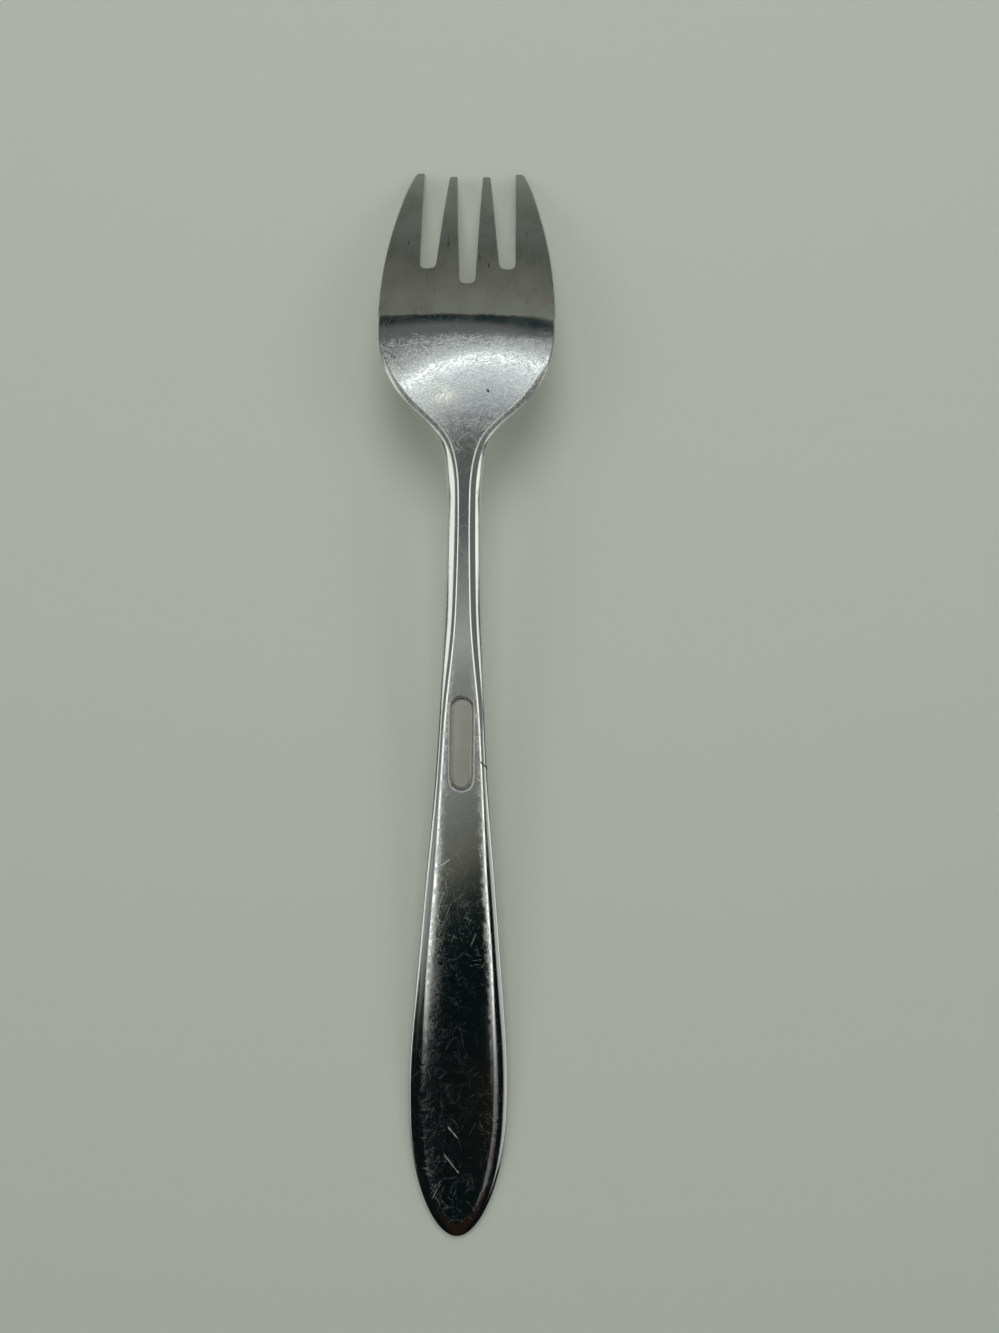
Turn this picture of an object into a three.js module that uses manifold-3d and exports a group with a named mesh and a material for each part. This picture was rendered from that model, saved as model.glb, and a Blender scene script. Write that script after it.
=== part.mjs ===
// A salad fork, stamped and forged from one blank of stainless steel.
// It lies face down: the back is up, and it rests on its outer tines and on the end of its handle.
// Millimetres, +Z up, +Y from the handle to the tines, origin under the middle of the fork.
import * as THREE from 'three';
import { mergeVertices } from 'three/addons/utils/BufferGeometryUtils.js';
import Module from 'manifold-3d';

const wasm = await Module();
wasm.setup();

// Outline, seen from above.
const HANDLE_LENGTH = 116; // end of the handle to the narrowest part of the neck
const HANDLE_WIDTH = 15.75;
const END_LENGTH = 21; // rounded end, up to the widest part of the handle
const END_POINT = 0.53; // 0.5 makes the end half an ellipse, more makes it more pointed
const NECK_WIDTH = 5.26;
const SHANK_LENGTH = 14; // slender part of the handle, next to the neck
const HEAD_LENGTH = 54; // narrowest part of the neck to the tips of the outer tines
const HEAD_WIDTH = 27;
const BOWL_LENGTH = 27.4; // narrowest part of the neck to the widest part of the head
const TIP_SPAN = 17.1; // across the tips of the outer tines

// Form of the outline between those places: [share of the way, share of the change in width].
const TAPER_SHARES = [[0.22, 0.088], [0.415, 0.253], [0.615, 0.546], [0.818, 0.853]];
const SHOULDER_SHARES = [
  [0.226, 0.027], [0.336, 0.106], [0.444, 0.331], [0.553, 0.62], [0.662, 0.814], [0.829, 0.968],
];
const TINE_SHARES = [[0.247, 0.059], [0.506, 0.252], [0.719, 0.505], [0.871, 0.723]];

// Height of the back along its middle line.
const HANDLE_LIE = 12; // part of the end that lies level
const FLAT_DEPTH = 0.1; // taken off the face where the handle rests
const HANDLE_RISE = 7.4; // slope of the straight handle, degrees
const RISE_START = 24; // where that slope would meet the table
const RISE_REACH = 36; // end of the handle to where it is straight
const CROWN_HEIGHT = 15; // highest part of the bowl's back
const CROWN_REACH = 15; // narrowest part of the neck to that highest part
const TINE_BEND = 2.1; // 2 bends the tines evenly, more bends them most at the tips

// Thickness at the middle line.
const END_THICKNESS = 1.6;
const HANDLE_THICKNESS = 2.4;
const NECK_THICKNESS = 3.4;
const BOWL_THICKNESS = 1.9;
const TIP_THICKNESS = 1.1;

// Crosswise form.
const HANDLE_CROWN = 120; // radius of the flat between the ridges
const BOWL_CROWN = 65; // radius of the bowl across the head
const HANDLE_BEVEL = 2.25; // bevel between the ridge and the edge, at the widest part of the handle
const GRIP_BEVEL = 1.42;
const MARK_BEVEL = 0.82;
const NECK_BEVEL = 1.7;
const RIM_BEVEL = 0.42;
const TINE_BEVEL = 0.25;
const HANDLE_DROP = 0.55; // fall of the bevel from the ridge to the edge
const NECK_DROP = 1.5;
const RIM_DROP = 0.3;
const RIDGE = 0.4; // share of the bevel's fall that is a straight slope from the ridge
const BEVEL_SHARE = 0.8; // most of the half width that a bevel takes
const HANDLE_ROUND = 1.3; // rounding of the edge on the face side
const RIM_ROUND = 0.35;
const ROUND_SHARE = 0.9; // most of the half width that the rounding takes

// Slots and tines.
const SLOT_DEPTH = 18; // outer slots, from the outer tips
const MIDDLE_SLOT_DEPTH = 20.5;
const SLOT_ROOT = 2.4;
const SLOT_MOUTH = 3.97;
const TINE_ROOT = 3.7; // inner tines
const TINE_TIP = 1.27;
const TINE_SHORT = 0.8; // inner tines end this much short of the outer ones
const ROOT_ROUND = 0.85;
const TIP_ROUND = 0.28; // corners along the slots
const TIP_CORNER = 0.35; // outer corners of the outer tines

// Recess for a mark, on the back of the handle.
const MARK_LENGTH = 14.7;
const MARK_WIDTH = 3.68;
const MARK_DEPTH = 0.35;
const MARK_WALL = 0.4; // width of the sloping wall
const MARK_REACH = 36.7; // middle of the recess to the narrowest part of the neck

// Fineness of the solid.
const LAND_STEPS = 6;
const EDGE_STEPS = 4;
const ARC_STEPS = 6;
const END_STEPS = 12;
const HANDLE_STEPS = 30;
const BOWL_STEPS = 24;
const TINE_STEPS = 18;
const CORNER_STEPS = 3;

// Places along the fork, from the end of the handle.
const AT_WIDEST = END_LENGTH;
const AT_NECK = HANDLE_LENGTH;
const AT_MARK = AT_NECK - MARK_REACH;
const AT_GRIP = (AT_WIDEST + AT_MARK) / 2;
const AT_SHANK = AT_NECK - SHANK_LENGTH;
const AT_CROWN = AT_NECK + CROWN_REACH;
const AT_BOWL = AT_NECK + BOWL_LENGTH;
const AT_TIP = AT_NECK + HEAD_LENGTH;

// Smooth curve through [place, value] pairs: its slope and its curvature run on through each pair.
function through(pairs) {
  const x = pairs.map(([place]) => place);
  const y = pairs.map(([, value]) => value);
  const last = pairs.length - 1;
  const bend = new Array(last + 1).fill(0);
  const carry = new Array(last + 1).fill(0);
  const load = new Array(last + 1).fill(0);
  for (let i = 1; i < last; i += 1) {
    const a = x[i] - x[i - 1];
    const b = x[i + 1] - x[i];
    const pivot = 2 * (a + b) + (i === 1 ? a : -a * carry[i - 1]) + (i === last - 1 ? b : 0);
    const jump = 6 * ((y[i + 1] - y[i]) / b - (y[i] - y[i - 1]) / a);
    carry[i] = i === last - 1 ? 0 : b / pivot;
    load[i] = (jump - a * load[i - 1]) / pivot;
  }
  for (let i = last - 1; i > 0; i -= 1) {
    bend[i] = load[i] - carry[i] * bend[i + 1];
  }
  bend[0] = bend[1];
  bend[last] = bend[last - 1];
  return (place) => {
    const s = THREE.MathUtils.clamp(place, x[0], x[last]);
    const i = Math.max(1, x.findIndex((end) => end >= s));
    const h = x[i] - x[i - 1];
    const p = (x[i] - s) / h;
    const q = 1 - p;
    const curve = ((p ** 3 - p) * bend[i - 1] + (q ** 3 - q) * bend[i]) * h * h / 6;
    return p * y[i - 1] + q * y[i] + curve;
  };
}

// Curve that eases from each pair to the next, and never swings past either.
function easing(pairs) {
  const last = pairs.length - 1;
  return (s) => {
    const i = pairs.findIndex(([place], k) => k === last || (k > 0 && place > s));
    const [from, to] = [pairs[i - 1], pairs[i]];
    return THREE.MathUtils.lerp(from[1], to[1], THREE.MathUtils.smootherstep(s, from[0], to[0]));
  };
}

// The pairs of a form, stretched between two places and two values.
function stretch(form, from, to) {
  return form.map(([way, change]) => [
    from[0] + way * (to[0] - from[0]),
    from[1] + change * (to[1] - from[1]),
  ]);
}

// Half the width of the outline: a pointed oval at the end, then one smooth side up to the tips.
function outlineCurve() {
  const oval = (s) => HANDLE_WIDTH / 2 * (1 - (1 - s / END_LENGTH) ** 2) ** END_POINT;
  const widest = [AT_WIDEST, HANDLE_WIDTH / 2];
  const neck = [AT_NECK, NECK_WIDTH / 2];
  const bowl = [AT_BOWL, HEAD_WIDTH / 2];
  const tip = [AT_TIP, TIP_SPAN / 2];
  const side = through([
    [AT_WIDEST / 2, oval(AT_WIDEST / 2)],
    widest,
    ...stretch(TAPER_SHARES, neck, widest).toReversed(),
    neck,
    ...stretch(SHOULDER_SHARES, neck, bowl),
    bowl,
    ...stretch(TINE_SHARES, bowl, tip),
    tip,
  ]);
  return (s) => {
    const q = Math.max(0, s - AT_TIP + TIP_CORNER) / TIP_CORNER;
    const corner = TIP_CORNER * (1 - Math.sqrt(1 - q * q));
    return s < AT_WIDEST ? oval(s) : side(s) - corner;
  };
}

// Thickness at the middle line, fullest in the neck.
const thickness = easing([
  [0, END_THICKNESS],
  [AT_GRIP, HANDLE_THICKNESS],
  [AT_MARK, HANDLE_THICKNESS],
  [AT_NECK, NECK_THICKNESS],
  [AT_BOWL, BOWL_THICKNESS],
  [AT_TIP, TIP_THICKNESS],
]);

// Height of the back: the end lies on the table, the handle rises, the bowl bends down to the tips.
function backCurve() {
  const slope = Math.tan(THREE.MathUtils.degToRad(HANDLE_RISE));
  const rise = (s) => HANDLE_THICKNESS + slope * (s - RISE_START);
  const tipLift = 0.5 / BOWL_CROWN * (TIP_SPAN / 2 - RIM_ROUND) ** 2;
  const fall = CROWN_HEIGHT - TIP_THICKNESS - tipLift;
  const bend = (way) => [
    THREE.MathUtils.lerp(AT_CROWN, AT_TIP, way),
    CROWN_HEIGHT - fall * way ** TINE_BEND,
  ];
  return through([
    [0, END_THICKNESS - FLAT_DEPTH],
    [HANDLE_LIE, thickness(HANDLE_LIE) + FLAT_DEPTH],
    [RISE_REACH, rise(RISE_REACH)],
    [AT_MARK, rise(AT_MARK)],
    [AT_CROWN, CROWN_HEIGHT],
    bend(0.5),
    bend(1),
  ]);
}

const halfWidth = outlineCurve();
const backHeight = backCurve();
const crown = easing([
  [AT_NECK, 0.5 / HANDLE_CROWN],
  [AT_BOWL, 0.5 / BOWL_CROWN],
]);
const hollow = easing([
  [AT_NECK, -0.5 / HANDLE_CROWN],
  [AT_BOWL, 0.5 / BOWL_CROWN],
]);
const bevelWidth = easing([
  [AT_WIDEST, HANDLE_BEVEL],
  [AT_GRIP, GRIP_BEVEL],
  [AT_MARK, MARK_BEVEL],
  [AT_SHANK, NECK_BEVEL],
  [AT_NECK, NECK_BEVEL],
  [AT_CROWN, RIM_BEVEL],
  [AT_BOWL, TINE_BEVEL],
]);
const bevelDrop = easing([
  [AT_MARK, HANDLE_DROP],
  [AT_SHANK, NECK_DROP],
  [AT_NECK, NECK_DROP],
  [AT_CROWN, RIM_DROP],
]);
const ridge = easing([
  [AT_WIDEST / 2, 0],
  [AT_WIDEST, RIDGE],
  [AT_CROWN, RIDGE],
  [AT_BOWL, 0],
]);
const edgeRound = easing([
  [AT_MARK, HANDLE_ROUND],
  [AT_NECK, NECK_WIDTH / 2],
  [AT_CROWN, RIM_ROUND],
]);

// One section across the fork: a ring of [x, z] points, over the back and home under the face.
function section(s) {
  const w = halfWidth(s);
  const land = w - Math.min(bevelWidth(s), BEVEL_SHARE * w);
  const flat = w - Math.min(edgeRound(s), ROUND_SHARE * w);
  const top = (x) => backHeight(s) - crown(s) * x * x;
  const bottom = (x) => backHeight(s) - thickness(s) - hollow(s) * x * x;
  const edge = top(w) - bevelDrop(s);
  const back = [];
  const face = [];
  for (let i = 0; i <= LAND_STEPS; i += 1) {
    const x = land * i / LAND_STEPS;
    const u = flat * i / LAND_STEPS;
    back.push([x, top(x)]);
    face.push([u, bottom(u)]);
  }
  for (let i = 1; i < EDGE_STEPS; i += 1) {
    const q = Math.sin(i / EDGE_STEPS * Math.PI / 2);
    const round = 1 - Math.sqrt(1 - q * q);
    const x = land + q * (w - land);
    const u = flat + q * (w - flat);
    back.push([x, top(x) - bevelDrop(s) * (ridge(s) * q + (1 - ridge(s)) * round)]);
    face.push([u, THREE.MathUtils.lerp(bottom(u), edge, round)]);
  }
  const right = [...back, [w, edge], ...face.toReversed()];
  const left = right.slice(1, -1).map(([x, z]) => [-x, z]);
  return [...right, ...left.toReversed()];
}

// Places of the sections: closest round the end, in the shoulder and at the tips.
function places() {
  const even = (from, to, steps) => Array.from({ length: steps }, (_, i) => from + (to - from) * i / steps);
  const end = even(0.5 / END_STEPS, 1, END_STEPS);
  return [
    ...end.map((way) => END_LENGTH * (1 - Math.cos(way * Math.PI / 2))),
    ...even(AT_WIDEST, AT_NECK, HANDLE_STEPS),
    ...even(AT_NECK, AT_BOWL, BOWL_STEPS),
    ...even(AT_BOWL, AT_TIP - TIP_CORNER, TINE_STEPS),
    ...even(AT_TIP - TIP_CORNER, AT_TIP, CORNER_STEPS),
    AT_TIP,
  ];
}

// Solid from the sections: joined ring to ring, drawn to a point at the end, closed flat at the tips.
function loft() {
  const along = places();
  const count = 4 * (LAND_STEPS + EDGE_STEPS);
  const points = along.flatMap((s) => section(s).flatMap(([x, z]) => [x, s, z]));
  const faces = [];
  for (let row = 0; row + 1 < along.length; row += 1) {
    for (let i = 0; i < count; i += 1) {
      const a = row * count + i;
      const b = row * count + (i + 1) % count;
      faces.push(a, b, b + count, a, b + count, a + count);
    }
  }
  const end = along.length * count;
  points.push(0, 0, backHeight(0) - thickness(0) / 2);
  for (let i = 0; i < count; i += 1) {
    faces.push(end, (i + 1) % count, i);
  }
  const tip = end - count;
  const edge = count / 4;
  const over = (k) => tip + (5 * edge - k) % count;
  const under = (k) => tip + edge + k;
  faces.push(under(0), under(1), over(1));
  for (let k = 1; k < 2 * edge; k += 1) {
    faces.push(over(k), under(k), under(k + 1));
    if (k + 1 < 2 * edge) {
      faces.push(over(k), under(k + 1), over(k + 1));
    }
  }
  const geometry = new THREE.BufferGeometry();
  geometry.setAttribute('position', new THREE.Float32BufferAttribute(points, 3));
  geometry.setIndex(faces);
  return geometry;
}

// Outline with rounded corners from [x, y, length cut off each side of the corner].
function roundedShape(corners) {
  const shape = new THREE.Shape();
  corners.forEach(([x, y, cut], i) => {
    const corner = new THREE.Vector2(x, y);
    const before = new THREE.Vector2(...corners.at(i - 1));
    const after = new THREE.Vector2(...corners[(i + 1) % corners.length]);
    const into = before.sub(corner).setLength(cut).add(corner);
    const out = after.sub(corner).setLength(cut).add(corner);
    if (i === 0) {
      shape.moveTo(into.x, into.y);
    } else {
      shape.lineTo(into.x, into.y);
    }
    if (cut > 0) {
      shape.quadraticCurveTo(corner.x, corner.y, out.x, out.y);
    }
  });
  shape.closePath();
  return shape;
}

// Comb that cuts the three slots and rounds the tips.
function slotComb() {
  const clear = HEAD_WIDTH;
  const innerTip = AT_TIP - TINE_SHORT;
  const root = AT_TIP - SLOT_DEPTH;
  const middleRoot = AT_TIP - MIDDLE_SLOT_DEPTH;
  const right = [
    [SLOT_ROOT / 2, middleRoot, ROOT_ROUND],
    [SLOT_MOUTH / 2, innerTip, TIP_ROUND],
    [SLOT_MOUTH / 2 + TINE_TIP, innerTip, TIP_ROUND],
    [SLOT_ROOT / 2 + TINE_ROOT, root, ROOT_ROUND],
    [SLOT_ROOT * 1.5 + TINE_ROOT, root, ROOT_ROUND],
    [SLOT_MOUTH * 1.5 + TINE_TIP, AT_TIP, TIP_ROUND],
    [clear, AT_TIP, 0],
    [clear, AT_TIP + clear, 0],
  ];
  const left = right.map(([x, y, cut]) => [-x, y, cut]);
  const shape = roundedShape([...right, ...left.toReversed()]);
  const comb = new THREE.ExtrudeGeometry(shape, {
    depth: 3 * CROWN_HEIGHT,
    bevelEnabled: false,
    curveSegments: ARC_STEPS,
  });
  return comb.translate(0, 0, -CROWN_HEIGHT);
}

// Recess with a flat floor and sloping walls, square to the back.
function markRecess() {
  const half = MARK_WIDTH / 2 - MARK_WALL;
  const reach = MARK_LENGTH / 2 - MARK_WALL - half;
  const floor = new THREE.Shape();
  floor.absarc(0, reach, half, 0, Math.PI);
  floor.absarc(0, -reach, half, Math.PI, 2 * Math.PI);
  floor.closePath();
  const recess = new THREE.ExtrudeGeometry(floor, {
    depth: MARK_DEPTH,
    bevelThickness: MARK_DEPTH,
    bevelSize: MARK_WALL,
    bevelSegments: 2,
    curveSegments: 2 * ARC_STEPS,
  });
  const tilt = Math.atan2(backHeight(AT_MARK + reach) - backHeight(AT_MARK - reach), 2 * reach);
  return recess.rotateX(tilt).translate(0, AT_MARK, backHeight(AT_MARK));
}

// Block under the table top, which flattens what the fork rests on.
function tableTop() {
  const block = new THREE.BoxGeometry(2 * HEAD_WIDTH, 2 * AT_TIP, CROWN_HEIGHT);
  return block.translate(0, AT_TIP / 2, -CROWN_HEIGHT / 2);
}

function solidOf(geometry) {
  geometry.deleteAttribute('normal');
  geometry.deleteAttribute('uv');
  const merged = mergeVertices(geometry, 1e-4);
  const vertProperties = new Float32Array(merged.attributes.position.array);
  const triVerts = new Uint32Array(merged.index.array);
  return new wasm.Manifold(new wasm.Mesh({ numProp: 3, vertProperties, triVerts }));
}

function geometryOf(solid) {
  const { vertProperties, triVerts } = solid.getMesh();
  const geometry = new THREE.BufferGeometry();
  geometry.setAttribute('position', new THREE.BufferAttribute(vertProperties, 3));
  geometry.setIndex(new THREE.BufferAttribute(triVerts, 1));
  geometry.computeVertexNormals();
  return geometry;
}

function polishedSteel() {
  return new THREE.MeshStandardMaterial({ color: 0xb8b9b4, metalness: 1, roughness: 0.25 });
}

function fork() {
  const cuts = [slotComb(), markRecess(), tableTop()].map(solidOf);
  const solid = cuts.reduce((rest, cut) => rest.subtract(cut), solidOf(loft()));
  const mesh = new THREE.Mesh(geometryOf(solid), polishedSteel());
  mesh.name = 'fork';
  mesh.position.y = -AT_TIP / 2;
  return mesh;
}

const saladFork = new THREE.Group();
saladFork.name = 'salad_fork';
saladFork.add(fork());

export default saladFork;
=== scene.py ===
from math import radians, tan

import bpy
import numpy as np
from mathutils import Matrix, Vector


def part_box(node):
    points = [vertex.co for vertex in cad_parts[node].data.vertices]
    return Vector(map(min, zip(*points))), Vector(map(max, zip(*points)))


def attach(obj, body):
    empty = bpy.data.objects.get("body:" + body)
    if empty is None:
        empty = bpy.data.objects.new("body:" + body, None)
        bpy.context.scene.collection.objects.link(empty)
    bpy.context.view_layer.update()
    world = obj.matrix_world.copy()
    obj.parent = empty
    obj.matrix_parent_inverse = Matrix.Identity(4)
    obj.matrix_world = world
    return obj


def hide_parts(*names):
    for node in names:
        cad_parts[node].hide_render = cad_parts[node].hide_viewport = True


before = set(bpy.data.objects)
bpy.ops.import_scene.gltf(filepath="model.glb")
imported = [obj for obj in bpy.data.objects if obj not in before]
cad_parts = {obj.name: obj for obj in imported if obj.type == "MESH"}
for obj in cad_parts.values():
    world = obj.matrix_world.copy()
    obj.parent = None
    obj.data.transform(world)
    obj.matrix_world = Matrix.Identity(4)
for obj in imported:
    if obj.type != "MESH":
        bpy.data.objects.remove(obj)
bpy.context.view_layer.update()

# The fork is one blank of stainless steel, cut to its outline, pressed to a back and a face and polished.
# It lies face down, on the end of its handle and the tips of its outer tines. Places along it are
# measured from the handle's end, and half widths from its middle line.
MM = 0.001
low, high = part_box("fork")
END_Y = low.y
HEAD_WIDTH = high.x - low.x
HANDLE_WIDTH = 15.75 * MM
NECK_WIDTH = 5.26 * MM
TIP_SPAN = 17.1 * MM
AT_WIDEST = 21 * MM
AT_MARK = 79.3 * MM
AT_GRIP = (AT_WIDEST + AT_MARK) / 2
AT_SHANK = 102 * MM
AT_NECK = 116 * MM
AT_CROWN = 131 * MM
AT_BOWL = 143.4 * MM
AT_TIP = high.y - low.y

# How pointed the handle's end is: a power of 0.5 would make it half an ellipse.
END_POINT = 0.53

# Forms of the sides, as shares of the way and of the change in half width: the handle's taper seen from
# the neck, the bowl's shoulder, and the outer side of the tines.
TAPER = [(0.22, 0.088), (0.415, 0.253), (0.615, 0.546), (0.818, 0.853)]
SHOULDER = [
    (0.226, 0.027),
    (0.336, 0.106),
    (0.444, 0.331),
    (0.553, 0.62),
    (0.662, 0.814),
    (0.829, 0.968),
]
TINE_SIDE = [(0.247, 0.059), (0.506, 0.252), (0.719, 0.505), (0.871, 0.723)]


def through(pairs):
    """Curve through (place, value) pairs whose slope and curvature run on through each pair."""
    place, value = np.array(pairs, float).T
    gap = np.diff(place)
    system = np.zeros((len(place), len(place)))
    jump = np.zeros(len(place))
    system[0, :2] = 1, -1
    system[-1, -2:] = 1, -1
    for i in range(1, len(place) - 1):
        system[i, i - 1:i + 2] = gap[i - 1], 2 * (gap[i - 1] + gap[i]), gap[i]
        jump[i] = 6 * ((value[i + 1] - value[i]) / gap[i] - (value[i] - value[i - 1]) / gap[i - 1])
    bend = np.linalg.solve(system, jump)

    def curve(s):
        s = np.clip(s, place[0], place[-1])
        i = np.clip(np.searchsorted(place, s), 1, len(place) - 1)
        h = gap[i - 1]
        p = (place[i] - s) / h
        q = 1 - p
        bent = (p**3 - p) * bend[i - 1] + (q**3 - q) * bend[i]
        return p * value[i - 1] + q * value[i] + bent * h * h / 6

    return curve


def easing(pairs):
    """Curve that eases from each (place, value) pair to the next and never swings past either."""
    place, value = np.array(pairs, float).T

    def curve(s):
        i = np.clip(np.searchsorted(place, s), 1, len(place) - 1)
        way = np.clip((s - place[i - 1]) / (place[i] - place[i - 1]), 0, 1)
        return value[i - 1] + (value[i] - value[i - 1]) * way**3 * (way * (6 * way - 15) + 10)

    return curve


def stretch(form, start, end):
    """The pairs of a form, stretched between two (place, value) pairs."""
    run = end[0] - start[0]
    change = end[1] - start[1]
    return [(start[0] + way * run, start[1] + share * change) for way, share in form]


def oval(s):
    """Half width of the handle's end."""
    return HANDLE_WIDTH / 2 * np.maximum(1 - (1 - s / AT_WIDEST) ** 2, 0) ** END_POINT


widest = (AT_WIDEST, HANDLE_WIDTH / 2)
neck = (AT_NECK, NECK_WIDTH / 2)
bowl = (AT_BOWL, HEAD_WIDTH / 2)
tip = (AT_TIP, TIP_SPAN / 2)
side = through(
    [(AT_WIDEST / 2, oval(AT_WIDEST / 2)), widest]
    + stretch(TAPER, neck, widest)[::-1]
    + [neck] + stretch(SHOULDER, neck, bowl)
    + [bowl] + stretch(TINE_SIDE, bowl, tip) + [tip]
)


def half_width(s):
    """Half width of the outline."""
    return np.where(s < AT_WIDEST, oval(np.minimum(s, AT_WIDEST)), side(s))


# Width of the bevel between the ridge on the back and the edge.
bevel_width = easing([
    (AT_WIDEST, 2.25 * MM),
    (AT_GRIP, 1.42 * MM),
    (AT_MARK, 0.82 * MM),
    (AT_SHANK, 1.7 * MM),
    (AT_NECK, 1.7 * MM),
    (AT_CROWN, 1.15 * MM),
    (AT_BOWL, 0.3 * MM),
])

# Lines that the sheet's columns follow, from the middle out: the sides of the slots, the ridge, the edge.
# Below the slots the first three fan out over the sheet. CELLS are the columns between the lines.
SLOT_ROOT = 2.4 * MM
SLOT_MOUTH = 3.97 * MM
TINE_ROOT = 3.7 * MM
TINE_TIP = 1.27 * MM
TINE_SHORT = 0.8 * MM
ROOT = AT_TIP - 18 * MM
MIDDLE_ROOT = AT_TIP - 20.5 * MM
AT_SPREAD = AT_BOWL - 14 * MM
SPREAD = (0.16, 0.5, 0.84)
RIDGE_ROUND = 0.12 * MM
LEAST_BEVEL = 0.42 * MM
EDGE_GAP = 0.2 * MM
CELLS = (3, 6, 5, 4, 1, 1, 3, 1)
COLUMNS = sum(CELLS)
SLOT_SIDE, TINE_OUT, SLOT_OUT = np.cumsum(CELLS)[:3]
STEP = 0.01 * MM


def way_between(s, start, end):
    """Share of the way from start to end, from 0 to 1."""
    return np.clip((s - start) / (end - start), 0, 1)


def column_lines(s):
    """Distance of each column line from the middle line at the places s."""
    edge = half_width(s)
    slope = (half_width(s + STEP) - half_width(s - STEP)) / (2 * STEP)
    lean = np.hypot(1, slope)
    ridge_line = edge - np.maximum(bevel_width(s), LEAST_BEVEL) * lean
    ridge_in = ridge_line - RIDGE_ROUND * lean
    ridge_out = ridge_line + RIDGE_ROUND * lean
    slot_way = way_between(s, MIDDLE_ROOT, AT_TIP)
    tine_way = way_between(s, ROOT, AT_TIP)
    root_out = SLOT_ROOT / 2 + TINE_ROOT
    tip_out = SLOT_MOUTH / 2 + TINE_TIP
    slot_side = SLOT_ROOT / 2 + slot_way * (SLOT_MOUTH - SLOT_ROOT) / 2
    tine_out = root_out + tine_way * (tip_out - root_out)
    slot_out = tine_out + SLOT_ROOT + tine_way * (SLOT_MOUTH - SLOT_ROOT)
    near = way_between(s, AT_SPREAD, MIDDLE_ROOT)
    near = near * near * (3 - 2 * near)
    fan = [ridge_in * share for share in SPREAD]
    inner = [wide * (1 - near) + line * near for wide, line in zip(fan, (slot_side, tine_out, slot_out))]
    stations = [0 * s, *inner, ridge_in, ridge_line, ridge_out, edge - EDGE_GAP * lean, edge]
    lines = []
    for cells, start, end in zip(CELLS, stations[:-1], stations[1:]):
        lines += [start + (end - start) * i / cells for i in range(cells)]
    return np.array(lines + [edge])


# Rows of the sheet, as places and the number of rows from each to the next: round the handle's end, along
# the handle, past the recess, along the shank, over the bowl, and up the tines.
NOSE_CORNER = 4 * MM
NOSE_TOP = 12 * MM
NOSE_ROWS = 12
MARK_SPAN = 10 * MM
TIP_ROW = 0.3 * MM
STRETCHES = [
    (NOSE_CORNER, NOSE_ROWS),
    (NOSE_TOP, 45),
    (AT_MARK - MARK_SPAN, 40),
    (AT_MARK + MARK_SPAN, 27),
    (AT_NECK, 44),
    (MIDDLE_ROOT, 4),
    (ROOT, 25),
    (AT_TIP - TIP_ROW, 1),
    (AT_TIP, 0),
]
rows = []
for (start, count), (end, _) in zip(STRETCHES[:-1], STRETCHES[1:]):
    rows.extend(np.linspace(start, end, count, endpoint=False))
rows = np.array(rows + [AT_TIP])
MIDDLE_ROW = int(np.searchsorted(rows, MIDDLE_ROOT - STEP))
ROOT_ROW = int(np.searchsorted(rows, ROOT - STEP))
LAST = len(rows) - 1

bpy.ops.object.select_all(action="DESELECT")
bpy.ops.mesh.primitive_grid_add(x_subdivisions=2 * COLUMNS, y_subdivisions=LAST, size=1)
fork = bpy.context.active_object
fork.name = "fork_steel"

# Plan of the right half: [row, column, (x, place)], mirrored to the left below.
plan = np.zeros((len(rows), COLUMNS + 1, 2))
plan[:, :, 0] = column_lines(rows).T
plan[:, :, 1] = rows[:, None]
plan[:, :TINE_OUT + 1, 1] -= way_between(rows, ROOT, AT_TIP)[:, None] * TINE_SHORT

# The end of the sheet wraps round the handle's nose.
NOSE_STEPS = 200
nose_s = NOSE_CORNER * np.linspace(0, 1, NOSE_STEPS) ** 2
nose_line = np.column_stack([oval(nose_s), nose_s])
nose_run = np.concatenate([[0], np.cumsum(np.hypot(*np.diff(nose_line, axis=0).T))])
even = np.linspace(0, nose_run[-1], COLUMNS + 1)
plan[0] = np.column_stack([np.interp(even, nose_run, nose_line[:, i]) for i in (0, 1)])
for row in range(1, NOSE_ROWS):
    way = row / NOSE_ROWS
    plan[row, :COLUMNS] = plan[0, :COLUMNS] * (1 - way) + plan[NOSE_ROWS, :COLUMNS] * way

# The roots of the slots and the tips of the tines are rounded.
ROOT_ROUND = 0.85 * MM
TIP_ROUND = 0.28 * MM
TIP_CORNER = 0.35 * MM
CORNER_CELLS = 3


def round_corner(row, column, row_step, column_step, cut):
    """Draws the sheet's edge round a corner, from cut before it to cut past it."""
    corner_point = plan[row, column].copy()
    steps = range(1, CORNER_CELLS + 1)
    runs = [
        [(row + row_step * k, column) for k in steps],
        [(row, column + column_step * k) for k in steps],
    ]
    ends = []
    for run in runs:
        toward = plan[run[0]] - corner_point
        ends.append(corner_point + toward / np.hypot(*toward) * cut)
    moved = {(row, column): (corner_point * 2 + ends[0] + ends[1]) / 4}
    for run, near, far in zip(runs, ends, ends[::-1]):
        for cell in run:
            away = np.hypot(*(plan[cell] - corner_point))
            if away < cut:
                t = (1 - away / cut) / 2
                moved[cell] = (1 - t) ** 2 * near + 2 * t * (1 - t) * corner_point + t * t * far
    for cell, point in moved.items():
        plan[cell] = point


round_corner(MIDDLE_ROW, SLOT_SIDE, 1, -1, ROOT_ROUND)
round_corner(ROOT_ROW, TINE_OUT, 1, 1, ROOT_ROUND)
round_corner(ROOT_ROW, SLOT_OUT, 1, -1, ROOT_ROUND)
round_corner(LAST, SLOT_SIDE, -1, 1, TIP_ROUND)
round_corner(LAST, TINE_OUT, -1, -1, TIP_ROUND)
round_corner(LAST, SLOT_OUT, -1, 1, TIP_ROUND)
round_corner(LAST, COLUMNS, -1, -1, TIP_CORNER)

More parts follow.
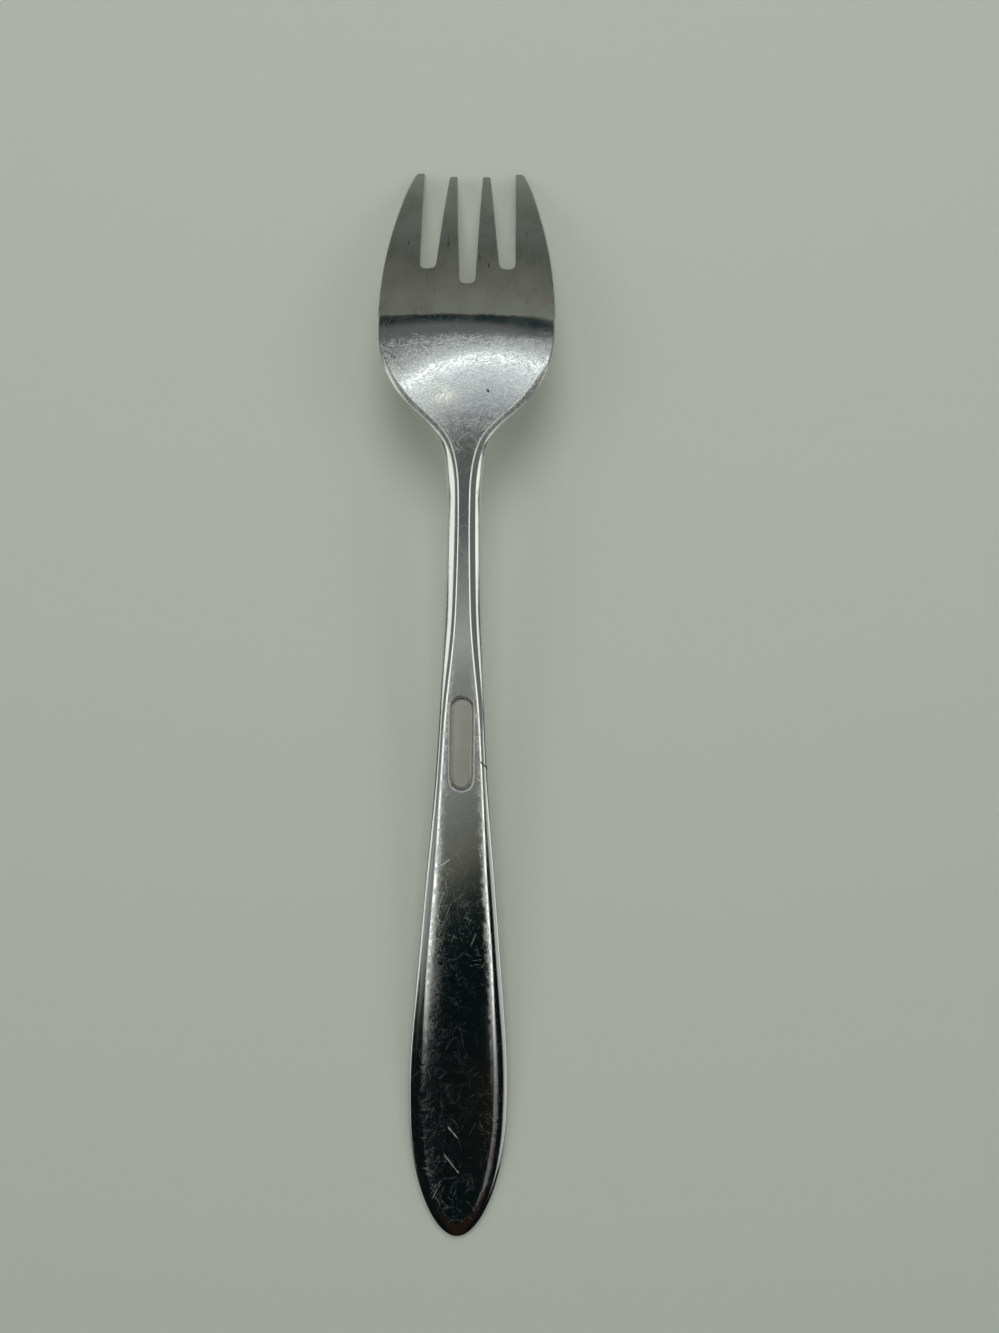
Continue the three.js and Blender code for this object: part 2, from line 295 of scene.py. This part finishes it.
left = plan[:, :0:-1] * (-1, 1)
sheet = np.concatenate([left, plan], axis=1).reshape(-1, 2)
fork.data.vertices.foreach_set("co", np.column_stack([sheet, 0 * sheet[:, 0]]).ravel())


def fork_points():
    """Places of the fork's vertices as rows of (x, y, z)."""
    flat = np.zeros(3 * len(fork.data.vertices))
    fork.data.vertices.foreach_get("co", flat)
    return flat.reshape(-1, 3)


def choose(kind, mask):
    """Selects only the vertices, edges or polygons of the fork that the mask names, in edit mode."""
    bpy.ops.object.mode_set(mode="EDIT")
    bpy.ops.mesh.select_mode(type={"vertices": "VERT", "edges": "EDGE", "polygons": "FACE"}[kind])
    bpy.ops.mesh.select_all(action="DESELECT")
    bpy.ops.object.mode_set(mode="OBJECT")
    getattr(fork.data, kind).foreach_set("select", np.asarray(mask, bool))
    bpy.ops.object.mode_set(mode="EDIT")


def distance(points, line):
    """Least distance of each point from a line of points."""
    least = np.full(len(points), np.inf)
    for start, end in zip(line[:-1], line[1:]):
        run = end - start
        way = np.clip((points - start) @ run / (run @ run), 0, 1)
        least = np.minimum(least, np.hypot(*(points - start - way[:, None] * run).T))
    return least


# The nose's inner points are relaxed so that its cells are even, and kept clear of its edge.
NOSE_GAP = 0.32 * MM
NOSE_RELAX = 400
NOSE_EDGE_STEPS = 120
EDGE_STEP = 0.4 * MM
nose_edge = NOSE_TOP * np.linspace(0, 1, NOSE_EDGE_STEPS) ** 2
long_edge = np.arange(NOSE_TOP, AT_TIP, EDGE_STEP)[1:]
edge_s = np.concatenate([nose_edge, long_edge, [AT_TIP]])
edge_line = np.column_stack([half_width(edge_s), edge_s])
grid_row, grid_column = np.divmod(np.arange(len(sheet)), 2 * COLUMNS + 1)
in_columns = (grid_column > 0) & (grid_column < 2 * COLUMNS)
inside = in_columns & (grid_row > 0) & (grid_row < NOSE_ROWS)
choose("vertices", inside)
bpy.ops.mesh.vertices_smooth(factor=0.5, repeat=NOSE_RELAX)
bpy.ops.object.mode_set(mode="OBJECT")
points = fork_points()
inward = np.array((0, NOSE_TOP)) - points[inside, :2]
inward /= np.hypot(*inward.T)[:, None]
lack = np.maximum(NOSE_GAP - distance(np.abs(points[inside, :2]), edge_line), 0)
points[inside, :2] += inward * lack[:, None]
fork.data.vertices.foreach_set("co", points.ravel())

# The slots are cut out of the sheet.
face_row, face_column = np.divmod(np.arange(len(fork.data.polygons)), 2 * COLUMNS)
off_middle = np.abs(face_column + 0.5 - COLUMNS)
middle_slot = (off_middle < SLOT_SIDE) & (face_row >= MIDDLE_ROW)
outer_slots = (off_middle > TINE_OUT) & (off_middle < SLOT_OUT) & (face_row >= ROOT_ROW)
choose("polygons", middle_slot | outer_slots)
bpy.ops.mesh.delete(type="FACE")

# Two narrow rings follow the whole edge, for its rounding.
EDGE_RINGS = (0.05 * MM, 0.1 * MM)
bpy.ops.mesh.select_all(action="SELECT")
for ring in EDGE_RINGS:
    bpy.ops.mesh.inset(thickness=ring, use_boundary=True)
bpy.ops.object.mode_set(mode="OBJECT")

# The sheet gets its two sides, with two rings round the walls between them. The press sets them later.
SHEET = 2 * MM
thicken = fork.modifiers.new("thicken", "SOLIDIFY")
thicken.thickness = SHEET
thicken.offset = 0
bpy.ops.object.modifier_apply(modifier=thicken.name)
edge_ends = np.array([edge.vertices[:] for edge in fork.data.edges])
upright = np.abs(np.diff(fork_points()[edge_ends, 2], axis=1)[:, 0]) > SHEET / 2
choose("edges", upright)
bpy.ops.mesh.subdivide(number_cuts=2)
bpy.ops.object.mode_set(mode="OBJECT")

# The recess for a mark on the back of the handle: rings of faces drawn to the form of a stadium. Each
# ring is given by its distance outside the recess's edge.
MARK_LENGTH = 14.7 * MM
MARK_HALF = 3.68 * MM / 2
MARK_DEPTH = 0.35 * MM
MARK_WALL = 0.27 * MM
MARK_LIP = 0.03 * MM
MARK_REACH = MARK_LENGTH / 2 - MARK_HALF
MARK_RINGS = (0.16 * MM, 0.06 * MM, -0.03 * MM, -0.24 * MM, -0.34 * MM, -0.7 * MM)
MARK_MARGIN = 1.2 * MM
MARK_INSET = 0.01 * MM
MARK_RELAX = 300


def mark_axis(points):
    """Nearest point of the recess's middle line, and the distance from it."""
    up_axis = np.clip(points[:, 1] - AT_MARK, -MARK_REACH, MARK_REACH)
    axis = np.column_stack([0 * up_axis, AT_MARK + up_axis])
    return axis, np.hypot(*(points[:, :2] - axis).T)


def selected_verts():
    """Corner points of the selected faces, and those of them on the selection's border."""
    faces = [polygon for polygon in fork.data.polygons if polygon.select]
    uses = {}
    for polygon in faces:
        for key in polygon.edge_keys:
            uses[key] = uses.get(key, 0) + 1
    every = {v for polygon in faces for v in polygon.vertices}
    border = {v for key, count in uses.items() if count == 1 for v in key}
    return sorted(every), sorted(border)


centre = np.array([polygon.center[:] for polygon in fork.data.polygons])
faces_up = np.array([polygon.normal.z for polygon in fork.data.polygons]) > 0.5
near_mark = np.abs(centre[:, 1] - AT_MARK) < MARK_LENGTH / 2 + MARK_MARGIN
between_ridges = np.abs(centre[:, 0]) < column_lines(centre[:, 1])[SLOT_OUT]
choose("polygons", faces_up & near_mark & between_ridges)
for ring in MARK_RINGS:
    bpy.ops.mesh.inset(thickness=MARK_INSET, use_even_offset=False)
    bpy.ops.object.mode_set(mode="OBJECT")
    chosen = np.array([polygon.select for polygon in fork.data.polygons])
    every, border = selected_verts()
    points = fork_points()
    axis, away = mark_axis(points[border])
    points[border, :2] = axis + (points[border, :2] - axis) / away[:, None] * (MARK_HALF + ring)
    fork.data.vertices.foreach_set("co", points.ravel())
    inner = np.zeros(len(points), bool)
    inner[list(set(every) - set(border))] = True
    choose("vertices", inner)
    bpy.ops.mesh.vertices_smooth(factor=0.5, repeat=MARK_RELAX)
    choose("polygons", chosen)
bpy.ops.object.mode_set(mode="OBJECT")

# The press: the sheet's two sides take the form of the back and of the face. A crown is half of one over
# its radius. RIDGE is the share of a plain ridge in the form of the bevel, the rest of which is round.
HANDLE_LIE = 12 * MM
RISE_START = 24 * MM
RISE_REACH = 36 * MM
HANDLE_RISE = tan(radians(7.4))
FLAT_DEPTH = 0.1 * MM
CROWN_HEIGHT = 15 * MM
TINE_BEND = 2.1
END_THICKNESS = 1.6 * MM
HANDLE_THICKNESS = 2.4 * MM
NECK_THICKNESS = 3.4 * MM
BOWL_THICKNESS = 1.9 * MM
TIP_THICKNESS = 1.1 * MM
RIM_ROUND = 0.35 * MM
HANDLE_CROWN = 0.5 / (120 * MM)
BOWL_CROWN = 0.5 / (65 * MM)
RIDGE = 0.4
RIDGE_START = 13 * MM
WEAR_SHIFT = 0.4 * MM
WEAR_WIDTH = 0.55 * MM
SLOT_EDGE = 0.15 * MM
thickness = easing([
    (0, END_THICKNESS),
    (AT_GRIP, HANDLE_THICKNESS),
    (AT_MARK, HANDLE_THICKNESS),
    (AT_NECK, NECK_THICKNESS),
    (AT_BOWL, BOWL_THICKNESS),
    (AT_TIP, TIP_THICKNESS),
])
crown = easing([(AT_NECK, HANDLE_CROWN), (AT_BOWL, BOWL_CROWN)])
hollow = easing([(AT_NECK, -HANDLE_CROWN), (AT_BOWL, BOWL_CROWN)])
bevel_drop = easing([
    (AT_MARK, 0.55 * MM),
    (AT_SHANK, 1.5 * MM),
    (AT_NECK, 1.5 * MM),
    (AT_CROWN, 0.55 * MM),
    (AT_BOWL, 0.3 * MM),
])
ridge = easing([(RIDGE_START, 0), (AT_GRIP, RIDGE), (AT_CROWN, RIDGE), (AT_BOWL, 0)])
ridge_round = easing([
    (AT_GRIP, 0.62 * MM),
    (AT_MARK, 0.38 * MM),
    (AT_SHANK, 0.3 * MM),
    (AT_CROWN, 0.2 * MM),
])
ridge_wear = easing([
    (RIDGE_START, 0),
    (AT_GRIP, 1),
    (AT_MARK, 0.8),
    (AT_SHANK, 0.25),
    (AT_CROWN, 0.25),
    (AT_BOWL, 0),
])
edge_round = easing([(AT_MARK, 1.3 * MM), (AT_NECK, NECK_WIDTH / 2), (AT_CROWN, RIM_ROUND)])


def back_curve():
    """Height of the back along the middle line."""
    lie = [(0, END_THICKNESS - FLAT_DEPTH), (HANDLE_LIE, float(thickness(HANDLE_LIE)) + FLAT_DEPTH)]
    rise = [(s, HANDLE_THICKNESS + HANDLE_RISE * (s - RISE_START)) for s in (RISE_REACH, AT_MARK)]
    fall = CROWN_HEIGHT - TIP_THICKNESS - BOWL_CROWN * (TIP_SPAN / 2 - RIM_ROUND) ** 2
    run = AT_TIP - AT_CROWN
    bend = [(AT_CROWN + way * run, CROWN_HEIGHT - fall * way**TINE_BEND) for way in (0.5, 1)]
    return through(lie + rise + [(AT_CROWN, CROWN_HEIGHT)] + bend)


def falling(share):
    """Quarter round, from 0 where share is 0 to 1 where it is 1."""
    return 1 - np.sqrt(1 - np.clip(share, 0, 1) ** 2)


def corner(share, radius):
    """Straight fall from share 0 on, its start rounded for the radius to either side."""
    part = share / radius
    return radius * np.where(np.abs(part) < 1, (part + 1) ** 2 / 4, np.maximum(part, 0))


back_height = back_curve()
points = fork_points()
x = np.abs(points[:, 0])
s = points[:, 1]
# The level is 0 on the side of the sheet that becomes the face and 1 on the one that becomes the back.
level = points[:, 2] / SHEET + 0.5
slot_line = np.concatenate([
    plan[MIDDLE_ROW, :SLOT_SIDE],
    plan[MIDDLE_ROW:, SLOT_SIDE],
    plan[LAST, SLOT_SIDE + 1:TINE_OUT],
    plan[ROOT_ROW:, TINE_OUT][::-1],
    plan[ROOT_ROW, TINE_OUT + 1:SLOT_OUT],
    plan[ROOT_ROW:, SLOT_OUT],
    plan[LAST, SLOT_OUT + 1:],
])
from_edge = distance(np.column_stack([x, s]), edge_line)
from_slot = distance(np.column_stack([x, s]), slot_line)
from_mark = mark_axis(points)[1] - MARK_HALF
bevel = 1 - from_edge / bevel_width(s)
ridge_fall = corner(bevel, ridge_round(s) / bevel_width(s))
bevel_fall = ridge(s) * ridge_fall + (1 - ridge(s)) * falling(bevel)
slot_round = SLOT_EDGE * falling(1 - from_slot / SLOT_EDGE)
crest = back_height(s) - crown(s) * x * x
back = crest - bevel_drop(s) * bevel_fall - slot_round
recess = MARK_DEPTH * np.clip((MARK_LIP - from_mark) / (MARK_LIP + MARK_WALL), 0, 1)
face = back_height(s) - thickness(s) - hollow(s) * x * x
face_round = falling(1 - from_edge / edge_round(s))
face = np.maximum(face + face_round * (crest - bevel_drop(s) - face) + slot_round, 0)
points[:, 2] = np.where(level > 0.99, back - recess, face + (back - face) * level)
fork.data.vertices.foreach_set("co", (points + (0, END_Y, 0)).ravel())
worn = ridge_wear(s) * np.exp(-(((from_edge - bevel_width(s) - WEAR_SHIFT) / WEAR_WIDTH) ** 2))
fork.data.attributes.new("ridge_wear", "FLOAT", "POINT").data.foreach_set("value", worn)

# The outer edge's two sides meet and are welded, and the whole surface is smoothed.
WELD = 0.001 * MM
choose("vertices", np.ones(len(points), bool))
bpy.ops.mesh.remove_doubles(threshold=WELD)
bpy.ops.mesh.normals_make_consistent(inside=False)
bpy.ops.object.mode_set(mode="OBJECT")
smooth = fork.modifiers.new("smooth", "SUBSURF")
smooth.levels = smooth.render_levels = 1
bpy.ops.object.modifier_apply(modifier=smooth.name)
bpy.ops.object.shade_smooth()


class Shade:
    """A value in a material or a light. Sums of it add Math nodes, and node() adds any other node."""

    def __init__(self, tree, socket=None):
        self.tree = tree
        self.socket = socket

    def fill(self, made, inputs):
        """Sets or links the named sockets of a node."""
        for name, value in inputs.items():
            if isinstance(value, Shade):
                self.tree.links.new(value.socket, made.inputs[name])
            else:
                made.inputs[name].default_value = value

    def coat(self, inputs):
        """Sets or links the sockets of the material's own shader."""
        self.fill(self.tree.nodes["Principled BSDF"], inputs)

    def node(self, kind, settings=None, inputs=None, output=0):
        """Output of a new node with these settings, such as a ramp's stops, and these inputs."""
        made = self.tree.nodes.new("ShaderNode" + kind)
        for name, value in (settings or {}).items():
            if name == "stops":
                ramp = made.color_ramp
                while len(ramp.elements) < len(value):
                    ramp.elements.new(1)
                for element, (position, colour) in zip(ramp.elements, value):
                    element.position = position
                    element.color = (*colour, 1)
            else:
                setattr(made, name, value)
        self.fill(made, inputs or {})
        return Shade(self.tree, made.outputs[output])

    def maths(self, operation, *values):
        return self.node("Math", {"operation": operation}, dict(enumerate(values)))

    def __add__(self, other):
        return self.maths("ADD", self, other)

    def __sub__(self, other):
        return self.maths("SUBTRACT", self, other)

    def __rsub__(self, other):
        return self.maths("SUBTRACT", other, self)

    def __mul__(self, other):
        return self.maths("MULTIPLY", self, other)

    def __abs__(self):
        return self.maths("ABSOLUTE", self)

    __radd__ = __add__
    __rmul__ = __mul__

    def ramp(self, start, end):
        """0 where the value is at start, 1 where it is at end, easing between them."""
        inputs = {"Value": self, "From Min": start, "From Max": end}
        return self.node("MapRange", {"interpolation_type": "SMOOTHSTEP"}, inputs)

    def band(self, first, second):
        """1 where both ramps, given by their starts and ends, are at their ends."""
        return self.ramp(*first) * self.ramp(*second)

    def mix(self, first, second):
        """Colour that goes from the first to the second as the value goes from 0 to 1."""
        return self.node("Mix", {"data_type": "RGBA"}, {0: self, 6: first, 7: second}, output=2)


def strongest(masks):
    """Mask that is at each place as strong as the strongest of several."""
    joined = masks[0]
    for mask in masks[1:]:
        joined = joined.maths("MAXIMUM", joined, mask)
    return joined


def length_of(across, up):
    """Length of a run, from its two parts."""
    return across.maths("SQRT", across * across + up * up)


# The polish: bright on the handle, worn by fine scratches on the bowl, dull and grained along the tines.
# Streaks have a width and a length, blotches a scale and a detail, and both have the levels of noise at
# which they begin and are full. A hairline has its two ends, (x, place along), and its width.
LONG_SCRATCH = (0.12 * MM, 5 * MM, 0.7, 0.77)
SCRATCH = (0.11 * MM, 4 * MM, 0.7, 0.77)
SCRATCH_TURNS = (-28, 41, 66, 97, 128, 160)
FINE_SCRATCH = (0.05 * MM, 1.1 * MM, 0.6, 0.72)
FINE_TURNS = (-12, 24, 55, 84, 113, 146)
GRAIN = (0.12 * MM, 6 * MM, 0.25, 0.75)
STAIN = (0.4 * MM, 2 * MM, 0.69, 0.76)
WEAR = (900, 2, 0.35, 0.65)
SMUDGE = (260, 4, 0.3, 0.7)
DOTS = (3800, 1, 0.6, 0.68)
POLISHED = (0.74, 0.745, 0.73, 1)
MATT_DARK = (0.465, 0.475, 0.425, 1)
MATT_PALE = (0.56, 0.575, 0.525, 1)
MARK_FLOOR = (0.58, 0.565, 0.51, 1)
# Dark colour for real stains, pits and nicks, and also for the painted shade at the foot of the recess's
# wall.
STAIN_AND_SHADE_COLOUR = (0.16, 0.155, 0.13, 1)
HAIRS = [
    ((-1.54 * MM, 17.9 * MM), (0.07 * MM, 16 * MM), 0.1 * MM),
    ((-2.12 * MM, 13.4 * MM), (0.15 * MM, 10.5 * MM), 0.1 * MM),
    ((-3.5 * MM, 59.9 * MM), (-1.6 * MM, 61.2 * MM), 0.1 * MM),
]
PIT = ((3.4 * MM, 132.7 * MM), (3.45 * MM, 132.5 * MM), 0.22 * MM)
NICK = ((3.0 * MM, 76.5 * MM), (4.05 * MM, 75.5 * MM), 0.16 * MM)
steel = bpy.data.materials.new("polished_steel")
steel.use_nodes = True
metal = Shade(steel.node_tree)
place = metal.node("TexCoord", output="Object")
place_x = metal.node("SeparateXYZ", inputs={0: place}, output="X")
place_y = metal.node("SeparateXYZ", inputs={0: place}, output="Y")


def streaks(angle, width, length, least, most):
    """Mask of streaks in one direction, from streak-shaped noise."""
    size = (1 / width, 1 / length, 1 / length)
    turn = {"Vector": place, "Rotation": (0, 0, radians(angle))}
    turned = metal.node("Mapping", {"vector_type": "TEXTURE"}, turn)
    drawn = metal.node("Mapping", {}, {"Vector": turned, "Scale": size})
    return metal.node("TexNoise", {}, {"Vector": drawn, "Scale": 1, "Detail": 1}).ramp(least, most)


def blotches(scale, detail, least, most):
    """Mask of soft blotches."""
    look = {"Vector": place, "Scale": scale, "Detail": detail}
    return metal.node("TexNoise", {}, look).ramp(least, most)


def along(s):
    """The y of a place along the fork."""
    return s + END_Y


def hairline(start, end, width):
    """Mask of one thin straight scratch between two (x, place along) points."""
    run = np.subtract(end, start)
    off_x = place_x - start[0]
    off_y = place_y - along(start[1])
    size = float(run @ run)
    way = off_x * (run[0] / size) + off_y * (run[1] / size)
    way = metal.maths("MINIMUM", metal.maths("MAXIMUM", way, 0), 1)
    return length_of(off_x - way * run[0], off_y - way * run[1]).ramp(width, width / 2)


# Where the polish changes: from the neck to the bowl, and along a wavering line to the tines.
waver = 0.5 * MM * metal.node("TexNoise", {}, {"Vector": place, "Scale": 900, "Detail": 3})
on_tines = (place_y - waver).ramp(along(AT_BOWL + 0.5 * MM), along(AT_BOWL + 1.0 * MM))
on_bowl = place_y.ramp(along(AT_NECK + 2 * MM), along(AT_CROWN))
below_tines = place_y.ramp(along(AT_BOWL - 0.5 * MM), along(AT_BOWL - 4 * MM))

# The recess: its rim, its floor, and painted shade along the foot of its wall, most of it at the lower
# end.
past_end = metal.maths("MAXIMUM", abs(place_y - along(AT_MARK)) - MARK_REACH, 0)
mark_away = length_of(place_x, past_end) - MARK_HALF
mark_rim = mark_away.band((0.3 * MM, 0.08 * MM), (-0.3 * MM, -0.1 * MM))
mark_floor = mark_away.ramp(-MARK_WALL * 0.7, -MARK_WALL * 1.2)
mark_end = AT_MARK - MARK_REACH
mark_low = 0.35 + 0.5 * place_y.ramp(along(mark_end + 1 * MM), along(mark_end - 1 * MM))
# Painted shade: the foot of the recess's wall is darkened in the colour, more at its lower end.
recess_painted_shade = mark_away.band((-0.8 * MM, -0.42 * MM), (-0.12 * MM, -0.26 * MM)) * mark_low

# Marks of use: scratches, hairlines, worn ridges, smudges, and stains near the roots of the slots.
scratches = strongest([
    streaks(12, *LONG_SCRATCH),
    *[streaks(angle, *SCRATCH) for angle in SCRATCH_TURNS],
])
scratches = scratches * (1 - 0.6 * on_bowl * (1 - below_tines)) * (1 - on_tines) * (1 - mark_floor)
fine = strongest([streaks(angle, *FINE_SCRATCH) for angle in FINE_TURNS])
fine = fine * below_tines * (0.2 + 0.8 * on_bowl)
hairs = strongest([hairline(*hair) for hair in HAIRS])
worn_share = metal.node("Attribute", {"attribute_name": "ridge_wear"}, output="Fac")
worn_ridge = worn_share * (0.35 + 0.65 * blotches(*WEAR))
grain = streaks(0, *GRAIN)
smudge = blotches(*SMUDGE)
dots = blotches(*DOTS) * on_bowl * below_tines
by_roots = place_y.band((along(147 * MM), along(150 * MM)), (along(161 * MM), along(157 * MM)))
by_roots = by_roots * abs(place_x).ramp(10.5 * MM, 9.5 * MM)
# The dark colour goes on the pit, the nick and the stains near the roots, and on the painted shade in the
# recess.
stain_and_painted_shade = strongest([hairline(*PIT), hairline(*NICK), by_roots * streaks(0, *STAIN), recess_painted_shade])

# The steel's colour, its roughness with what each mark adds to it, and the fine relief of the marks.
matt = (0.25 * grain + 0.75 * smudge).mix(MATT_DARK, MATT_PALE)
bare = mark_floor.mix(on_tines.mix(POLISHED, matt), MARK_FLOOR)
# The dark colour marks real stains and also paints the shade at the foot of the recess's wall.
colour = stain_and_painted_shade.mix(bare, STAIN_AND_SHADE_COLOUR)
roughness = 0.025 + 0.02 * smudge + on_bowl * (0.03 + 0.03 * smudge) + on_tines * (0.2 + 0.04 * grain)
roughness = roughness + scratches * (0.15 + 0.07 * on_bowl)
for mask, added in (
    (hairs, 0.2),
    (fine, 0.1),
    (mark_floor, 0.2),
    (worn_ridge, 0.26),
    (mark_rim, 0.22),
    (dots, 0.18),
):
    roughness = roughness + added * mask
relief = grain * on_tines * 0.22 - scratches * (0.22 + 0.2 * on_bowl)
for mask, depth in ((hairs, 0.6), (fine, 1.2), (dots, 0.5)):
    relief = relief - depth * mask
bump = metal.node("Bump", {}, {"Height": relief, "Strength": 0.35, "Distance": 0.006 * MM})
metal.coat({"Base Color": colour, "Roughness": roughness, "Metallic": 1, "Normal": bump})
fork.data.materials.clear()
fork.data.materials.append(steel)
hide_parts("fork")
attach(fork, "root")

# The table is a pale, plain top in matt paint, with nothing on it but the fork. It is wide, so that its
# own edge stays far from the fork in every view.
TABLE_WIDTH = 16
TABLE_COLOUR = (0.80, 0.85, 0.76, 1)
TABLE_ROUGHNESS = 0.6
bpy.ops.object.select_all(action="DESELECT")
bpy.ops.mesh.primitive_plane_add(size=TABLE_WIDTH)
table = bpy.context.active_object
table.name = "table_top"
paint = bpy.data.materials.new("table_paint")
paint.use_nodes = True
Shade(paint.node_tree).coat({"Base Color": TABLE_COLOUR, "Roughness": TABLE_ROUGHNESS})
table.data.materials.append(paint)

# The light over the steel is a wide screen above the fork, dark over the handle, grey over the neck and
# bright over the bowl. Only reflections see it. Places on it are in millimetres from above the fork's
# middle, and its steps along the fork are (place, level, tint).
SCREEN_HEIGHT = 400 * MM
SCREEN_WIDTH = 12
SCREEN_START = -500
SCREEN_END = 1500
SCREEN_LEAN = 0.21
SCREEN_TILT = 0.05
SCREEN_BOW = 0.0005
GREY = (0.94, 1.0, 0.97)
COOL = (0.9, 1.0, 1.04)
TEAL = (0.5, 1.0, 1.0)
BROWN = (1.2, 0.7, 0.45)
OLIVE = (1.05, 1.0, 0.7)
SAND = (1.02, 1.0, 0.86)
SCREEN = [
    (-300, 0.013, BROWN), (-272, 0.006, TEAL), (-225, 0.005, TEAL), (-204, 0.014, TEAL),
    (-197, 0.03, TEAL), (-191, 0.15, OLIVE), (-177, 0.14, GREY), (-168, 0.22, GREY),
    (-154, 0.25, GREY), (-124, 0.24, GREY), (-105, 0.42, GREY), (-80, 0.30, GREY),
    (0, 0.12, GREY), (44, 0.12, GREY), (93, 0.11, GREY), (121, 0.15, GREY),
    (149, 0.34, COOL), (186, 0.68, COOL), (215, 1.0, COOL), (222, 3.0, GREY),
    (234, 2.8, GREY), (243, 0.65, COOL), (262, 0.22, GREY), (285, 0.14, GREY),
    (322, 0.14, GREY), (342, 0.022, TEAL), (382, 0.022, TEAL), (392, 0.4, SAND),
    (440, 0.32, SAND), (530, 0.16, SAND), (740, 0.11, GREY), (1400, 0.2, GREY),
]
bpy.ops.object.select_all(action="DESELECT")
bpy.ops.mesh.primitive_plane_add(size=SCREEN_WIDTH, location=(0, 0, SCREEN_HEIGHT))
screen = bpy.context.active_object
screen.name = "light_screen"
screen.visible_camera = False
screen.visible_diffuse = False
screen.visible_shadow = False
glow = bpy.data.materials.new("screen_light")
glow.use_nodes = True
lit = Shade(glow.node_tree)
on_screen = lit.node("TexCoord", output="Object")
screen_x = lit.node("SeparateXYZ", inputs={0: on_screen}, output="X") * (1 / MM)
screen_y = lit.node("SeparateXYZ", inputs={0: on_screen}, output="Y") * (1 / MM)
off = abs(screen_x)

# The steps, drawn as a ramp of colour that leans and bows where it lights the bowl.
low_part = screen_y.ramp(320, 240)
lean = SCREEN_LEAN * low_part - SCREEN_TILT
bow = screen_x * screen_x * low_part * SCREEN_BOW
drawn_y = screen_y - screen_x * lean + bow
span = {"Value": drawn_y, "From Min": SCREEN_START, "From Max": SCREEN_END}
stops = []
for at, level, tint in SCREEN:
    share = (at - SCREEN_START) / (SCREEN_END - SCREEN_START)
    stops.append((share, [level * part for part in tint]))
light = lit.node("ValToRGB", {"stops": stops}, {"Fac": lit.node("MapRange", {}, span)})

# Strips that the ridges and the bowl's rim mirror, and panels at the sides that the bevels mirror, each
# laid over those before it.
on_left = screen_x.ramp(20, -20)
strip_end = on_left * screen_y.ramp(-265, -222) + (1 - on_left) * screen_y.ramp(-282, -235)
ridge_strip = off.band((55, 75), (135, 115)) * strip_end * screen_y.ramp(80, 30)
rim_strip = off.band((165, 180), (225, 210)) * screen_y.band((0, 30), (240, 200))
over_neck = screen_y.band((-200, -160), (150, 100))
nose_sides = off.ramp(110, 160) * screen_y.ramp(-255, -275)
far_sides = off.ramp(460, 520) * screen_y.band((-480, -420), (260, 160))
neck_sides = off.ramp(200, 260) * over_neck
left_panel = screen_x.ramp(-520, -600) * over_neck
right_panel = screen_x.ramp(880, 980) * over_neck
right_side = screen_x.band((280, 340), (520, 470)) * screen_y.band((-430, -400), (-160, -200))
beyond = off.ramp(760, 860) * (1 - over_neck)
spot = length_of((screen_x + 50) * (1 / 34), (screen_y - 160) * (1 / 13)).ramp(1, 0.3)
for mask, level in (
    (strongest([ridge_strip, rim_strip]), (1.7, 1.74, 1.65, 1)),
    (nose_sides, (0.004, 0.006, 0.006, 1)),
    (far_sides, (0.95, 0.97, 0.92, 1)),
    (neck_sides, (0.15, 0.155, 0.148, 1)),
    (left_panel, (1.05, 1.07, 1.0, 1)),
    (right_panel, (1.15, 1.17, 1.1, 1)),
    (right_side, (0.5, 0.515, 0.49, 1)),
    (beyond, (0.05, 0.052, 0.05, 1)),
    (spot, (2.0, 1.95, 1.6, 1)),
):
    light = mask.mix(light, level)
lit.coat({"Base Color": (0, 0, 0, 1), "Specular IOR Level": 0})
lit.coat({"Emission Color": light, "Emission Strength": 1})
screen.data.materials.append(glow)

# The light over the table is an even grey room and three soft lamps, one beyond the tips and one to either
# side, each with its place, its turn in degrees and its power. The steel doesn't mirror the lamps.
ROOM_LIGHT = (0.20, 0.207, 0.195, 1)
LAMP_WIDTH = 420 * MM
LAMPS = [
    ((0, 400 * MM, 600 * MM), (-34, 0), 1.25),
    ((-600 * MM, 0, 600 * MM), (0, -45), 0.45),
    ((600 * MM, 0, 600 * MM), (0, 45), 0.45),
]
world = bpy.data.worlds.new("room")
bpy.context.scene.world = world
world.use_nodes = True
world.node_tree.nodes["Background"].inputs["Color"].default_value = ROOM_LIGHT
for lamp_place, turn, power in LAMPS:
    lamp_turn = (radians(turn[0]), radians(turn[1]), 0)
    bpy.ops.object.light_add(type="AREA", location=lamp_place, rotation=lamp_turn)
    lamp = bpy.context.active_object
    lamp.name = "soft_lamp"
    lamp.data.shape = "DISK"
    lamp.data.size = LAMP_WIDTH
    lamp.data.energy = power
    lamp.visible_glossy = False

# The camera looks straight down from above the fork, turned a little so that the fork stands as it does
# in the photograph. No film curve is laid over the light.
CAMERA_PLACE = (5.68 * MM, 6.29 * MM, 220 * MM)
CAMERA_TURN = radians(0.755)
CAMERA_SENSOR = 36
CAMERA_LENS = 36.97
camera_data = bpy.data.cameras.new("camera")
camera = bpy.data.objects.new("camera", camera_data)
bpy.context.scene.collection.objects.link(camera)
camera.location = CAMERA_PLACE
camera.rotation_euler = (0, 0, CAMERA_TURN)
camera_data.sensor_fit = "VERTICAL"
camera_data.sensor_height = CAMERA_SENSOR
camera_data.lens = CAMERA_LENS
camera_data.clip_start = 1 * MM
bpy.context.scene.camera = camera
bpy.context.scene.view_settings.view_transform = "Standard"
